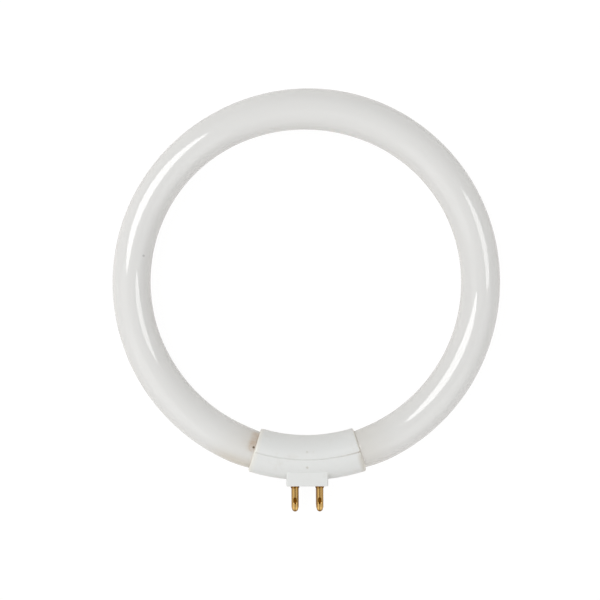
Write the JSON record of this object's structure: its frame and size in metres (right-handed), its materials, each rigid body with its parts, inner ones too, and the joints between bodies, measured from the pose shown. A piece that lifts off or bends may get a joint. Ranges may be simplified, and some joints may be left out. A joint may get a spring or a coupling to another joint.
{
  "type": "circular fluorescent tube",
  "caption": "Ring-shaped fluorescent lamp: a white-coated glass tube bent to a circle, with a two-part plastic base that clamps its ends and carries brass contact pins.",
  "frame": {"origin": "centre of the ring, in the middle plane of the glass tube", "axes": "+Z along the ring's axis, towards the side that carries the moulding dimples; -Y from the ring's centre to the base, the way the contact pins point"},
  "size_m": [0.1254, 0.1361, 0.0144],
  "materials": {
    "phosphor_white_glass": "glossy clear glass over a white coat that can't be seen through",
    "base_plastic": "moulded white plastic, satin",
    "pin_brass": "drawn brass, bright",
    "wire_metal": "plain drawn wire"
  },
  "bodies": {
    "root": {"glass_tube": "phosphor_white_glass", "base_inner_shell": "base_plastic", "base_outer_shell": "base_plastic", "contact_pin_front_left": "pin_brass", "contact_pin_rear_left": "pin_brass", "contact_pin_front_right": "pin_brass", "contact_pin_rear_right": "pin_brass", "lead_wire_front_left": "wire_metal", "lead_wire_rear_left": "wire_metal", "lead_wire_front_right": "wire_metal", "lead_wire_rear_right": "wire_metal"}
  },
  "joints": []
}
